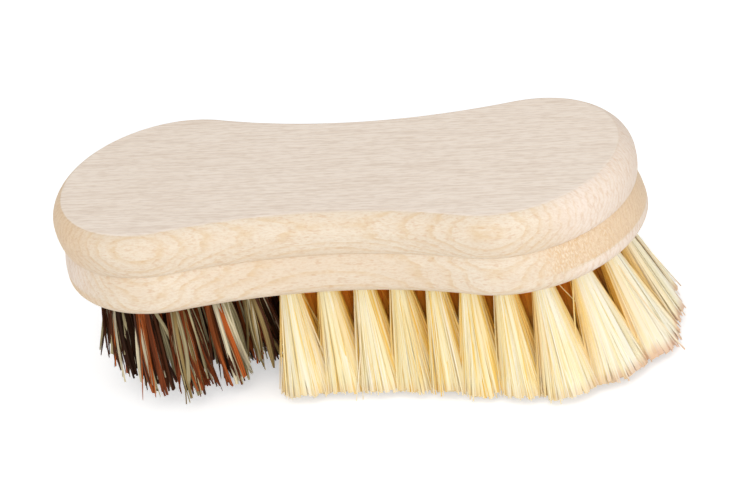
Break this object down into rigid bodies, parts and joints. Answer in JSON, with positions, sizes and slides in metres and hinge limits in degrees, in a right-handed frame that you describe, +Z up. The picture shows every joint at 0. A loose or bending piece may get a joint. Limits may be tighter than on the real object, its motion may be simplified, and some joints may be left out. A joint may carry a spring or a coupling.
{
  "type": "vegetable brush",
  "caption": "Hand-held scrubbing brush: a waisted beech block with a beaded edge, and tufts of stiff plant fibre, pale and splayed over most of its underside, dark and upright at one end.",
  "frame": {"origin": "under the middle of the block, on the plane of the pale tufts' tips, where the brush stands", "axes": "+X along the block towards the pale tufts, +Z up from the tips through the block's top face"},
  "size_m": [0.1356, 0.053, 0.047],
  "materials": {
    "beech": "satin",
    "pale_fibre": "matte",
    "dark_fibre": "matte"
  },
  "bodies": {
    "root": {"block": "beech", "pale_tuft_01": "pale_fibre", "pale_tuft_02": "pale_fibre", "pale_tuft_03": "pale_fibre", "pale_tuft_04": "pale_fibre", "pale_tuft_05": "pale_fibre", "pale_tuft_06": "pale_fibre", "pale_tuft_07": "pale_fibre", "pale_tuft_08": "pale_fibre", "pale_tuft_09": "pale_fibre", "pale_tuft_10": "pale_fibre", "pale_tuft_11": "pale_fibre", "pale_tuft_12": "pale_fibre", "pale_tuft_13": "pale_fibre", "pale_tuft_14": "pale_fibre", "pale_tuft_15": "pale_fibre", "pale_tuft_16": "pale_fibre", "pale_tuft_17": "pale_fibre", "pale_tuft_18": "pale_fibre", "pale_tuft_19": "pale_fibre", "pale_tuft_20": "pale_fibre", "pale_tuft_21": "pale_fibre", "pale_tuft_22": "pale_fibre", "pale_tuft_23": "pale_fibre", "pale_tuft_24": "pale_fibre", "pale_tuft_25": "pale_fibre", "pale_tuft_26": "pale_fibre", "pale_tuft_27": "pale_fibre", "pale_tuft_28": "pale_fibre", "pale_tuft_29": "pale_fibre", "pale_tuft_30": "pale_fibre", "pale_tuft_31": "pale_fibre", "pale_tuft_32": "pale_fibre", "pale_tuft_33": "pale_fibre", "pale_tuft_34": "pale_fibre", "pale_tuft_35": "pale_fibre", "pale_tuft_36": "pale_fibre", "dark_tuft_01": "dark_fibre", "dark_tuft_02": "dark_fibre", "dark_tuft_03": "dark_fibre", "dark_tuft_04": "dark_fibre", "dark_tuft_05": "dark_fibre", "dark_tuft_06": "dark_fibre", "dark_tuft_07": "dark_fibre", "dark_tuft_08": "dark_fibre", "dark_tuft_09": "dark_fibre", "dark_tuft_10": "dark_fibre", "dark_tuft_11": "dark_fibre", "dark_tuft_12": "dark_fibre", "dark_tuft_13": "dark_fibre", "dark_tuft_14": "dark_fibre", "dark_tuft_15": "dark_fibre", "dark_tuft_16": "dark_fibre", "dark_tuft_17": "dark_fibre", "dark_tuft_18": "dark_fibre", "dark_tuft_19": "dark_fibre", "dark_tuft_20": "dark_fibre"}
  },
  "joints": []
}
